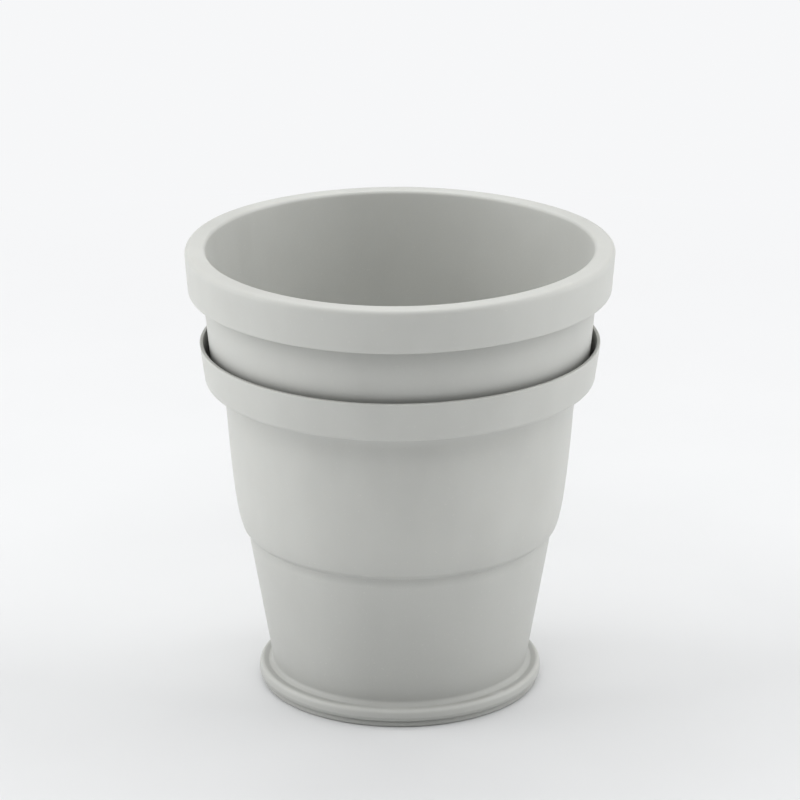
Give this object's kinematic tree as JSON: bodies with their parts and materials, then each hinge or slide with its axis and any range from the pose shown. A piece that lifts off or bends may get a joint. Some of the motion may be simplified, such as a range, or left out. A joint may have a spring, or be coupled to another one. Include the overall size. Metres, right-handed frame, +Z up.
{
  "type": "portable mini washer",
  "caption": "Folding soft tub with a loose thick-rimmed sleeve, and a lift-out sealed drive pod on its floor whose geared motor turns a ribbed pulsator.",
  "frame": {"origin": "centre of the underside, on the surface that the washer stands on", "axes": "+Z up along the tub's axis; -Y is the front; the power button is on the -X side of the drive pod and the charging socket on its +Y side"},
  "size_m": [0.092, 0.092, 0.099],
  "materials": {
    "tub_silicone": "matte",
    "base_silicone": "matte",
    "sleeve_silicone": "matte",
    "grip_silicone": "matte",
    "seal_rubber": "matte",
    "pod_plastic": "fine texture",
    "pulsator_plastic": "satin",
    "deck_plastic": "matte",
    "gear_nylon": "satin",
    "steel": "turned",
    "screw_steel": "satin",
    "can_steel": "brushed",
    "brass": "satin",
    "magnet_ferrite": "matte",
    "armature": "satin",
    "cap_plastic": "matte",
    "board_green": "semi-gloss",
    "switch_plastic": "matte",
    "cell_pouch": "satin",
    "pad_foam": "matte",
    "socket_steel": "satin",
    "lens_clear": "polished",
    "lead_cover": "satin"
  },
  "bodies": {
    "tub": {"base_disc": "base_silicone", "lower_cup": "tub_silicone", "fold_wall": "tub_silicone"},
    "collar": {"tub_collar": "tub_silicone"},
    "sleeve": {"rim_sleeve": "sleeve_silicone"},
    "pod": {"pod_foot_ring": "grip_silicone", "pod_base_shell": "pod_plastic", "pod_top_shell": "pod_plastic", "shell_seal": "seal_rubber", "shell_screws": "screw_steel", "battery_cell": "cell_pouch", "battery_pad": "pad_foam", "control_board": "board_green", "tact_switch": "switch_plastic", "charge_socket": "socket_steel", "charge_bracket": "board_green", "flap_pin": "steel", "status_lens": "lens_clear", "motor_can": "can_steel", "motor_end_cap": "cap_plastic", "motor_brushes": "brass", "motor_magnets": "magnet_ferrite", "motor_screws": "screw_steel", "gear_deck": "deck_plastic", "deck_screws": "screw_steel", "compound_pin": "steel", "pin_clip": "screw_steel", "lower_bush": "brass", "upper_bush": "brass", "shaft_seal": "seal_rubber", "battery_leads": "lead_cover", "motor_leads": "lead_cover"},
    "flap": {"port_flap": "grip_silicone"},
    "button": {"power_button": "grip_silicone"},
    "rotor": {"motor_rotor": "armature", "motor_shaft": "steel", "motor_pinion": "brass"},
    "idler": {"compound_gear": "gear_nylon"},
    "spinner": {"output_gear": "gear_nylon", "output_shaft": "steel", "pulsator": "pulsator_plastic", "pulsator_screw": "screw_steel", "hub_plug": "grip_silicone"}
  },
  "joints": [
    {"name": "collapse", "type": "slide", "parent": "tub", "child": "collar", "axis": [0, 0, -1], "range_m": [0, 0.061], "deforming": ["fold_wall"]},
    {"name": "sleeve_lift", "type": "slide", "parent": "collar", "child": "sleeve", "axis": [0, 0, 1], "range_m": [0, 0.03]},
    {"name": "pod_lift", "type": "slide", "parent": "tub", "child": "pod", "axis": [0, 0, 1], "range_m": [0, 0.1]},
    {"name": "pulsator_spin", "type": "hinge", "parent": "pod", "child": "spinner", "pos_m": [0, 0, 0.025], "axis": [0, 0, 1], "continuous": true},
    {"name": "idler_spin", "type": "hinge", "parent": "pod", "child": "idler", "pos_m": [0.00637, 0.01017, 0.023], "axis": [0, 0, 1], "continuous": true},
    {"name": "motor_spin", "type": "hinge", "parent": "pod", "child": "rotor", "pos_m": [0.009, 0, 0.015], "axis": [0, 0, 1], "continuous": true},
    {"name": "button_press", "type": "slide", "parent": "pod", "child": "button", "axis": [0, 0, -1], "range_m": [0, 0.0008]},
    {"name": "flap_open", "type": "hinge", "parent": "pod", "child": "flap", "pos_m": [0.0083, 0.0242, 0.0309], "axis": [0, 1, 0], "range_deg": [0, 110]}
  ],
  "couplings": [
    {"joint": "idler_spin", "follows": "pulsator_spin", "ratio": -3},
    {"joint": "motor_spin", "follows": "pulsator_spin", "ratio": 7.5}
  ]
}
